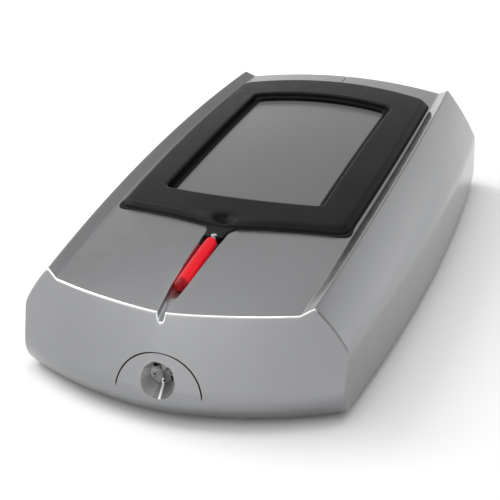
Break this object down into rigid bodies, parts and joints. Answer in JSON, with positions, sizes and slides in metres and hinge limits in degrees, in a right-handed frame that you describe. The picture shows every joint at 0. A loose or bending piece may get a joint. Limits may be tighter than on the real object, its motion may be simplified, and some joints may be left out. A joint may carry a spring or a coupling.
{
  "type": "rfid card reader",
  "caption": "Wall-mounted proximity card reader with a cast silver cover, raised black bezel round a grey window, red light pipe and a locked hinged cover.",
  "frame": {"origin": "in the wall plane, on the back face of the wall plate under the middle of the reader", "axes": "+Z away from the wall, +Y towards the reader's top end, the light pipe and the lock screw are at the -Y end"},
  "size_m": [0.0794, 0.147, 0.0308],
  "materials": {
    "housing_metal": "satin silver paint on a zinc casting",
    "bezel_plastic": "fine satin black",
    "window_plastic": "smooth grey, infrared and radio clear",
    "red_light": "lit red light pipe",
    "clear_plastic": "clear",
    "steel": "machined stainless steel",
    "plate_plastic": "textured dark grey glass-filled nylon",
    "rubber": "matte",
    "circuit_board": "green solder mask",
    "copper": "bare copper",
    "ferrite": "dull dark grey",
    "chip_plastic": "moulded epoxy",
    "terminal_plastic": "green nylon",
    "white_plastic": "white"
  },
  "bodies": {
    "wall_plate": {"base_plate": "plate_plastic", "wall_gasket": "rubber", "cable_grommet": "rubber", "lock_lug": "housing_metal", "lug_screws": "steel"},
    "cover": {"front_cover": "housing_metal", "bezel": "bezel_plastic", "bezel_gasket": "rubber", "reader_window": "window_plastic", "light_pipe": "red_light", "status_lens": "clear_plastic", "hinge_pin": "steel", "antenna_board": "circuit_board", "antenna_coil": "copper", "ferrite_sheet": "ferrite", "main_board": "circuit_board", "board_screws": "steel", "processor_chip": "chip_plastic", "radio_chip": "chip_plastic", "crystal": "steel", "board_components": "white_plastic", "terminal_block": "terminal_plastic", "terminal_screws": "steel", "buzzer": "chip_plastic", "tamper_switch": "chip_plastic", "led_board": "circuit_board", "status_leds": "white_plastic", "photo_sensor": "chip_plastic", "led_board_screws": "steel"},
    "lock_screw": {"security_screw": "steel", "end_clip": "steel"},
    "clamp_nut": {"clamp_nut": "steel"},
    "tamper_plunger": {"tamper_plunger": "white_plastic"}
  },
  "joints": [
    {"name": "cover_swing", "type": "hinge", "parent": "wall_plate", "child": "cover", "pos_m": [0, 0.0654, 0.0064], "axis": [-1, 0, 0], "range_deg": [0, 35]},
    {"name": "screw_turn", "type": "hinge", "parent": "wall_plate", "child": "lock_screw", "pos_m": [0, -0.068, 0.0102], "axis": [0, -1, 0], "range_deg": [0, 720]},
    {"name": "nut_travel", "type": "slide", "parent": "wall_plate", "child": "clamp_nut", "axis": [0, 1, 0], "range_m": [0, 0.0014]},
    {"name": "plunger_travel", "type": "slide", "parent": "cover", "child": "tamper_plunger", "axis": [0, 0, -1], "range_m": [0, 0.00155]}
  ],
  "couplings": [
    {"joint": "screw_turn", "follows": "nut_travel", "rad_per_m": 8976},
    {"joint": "plunger_travel", "follows": "cover_swing", "m_per_rad": 0.0024555}
  ]
}
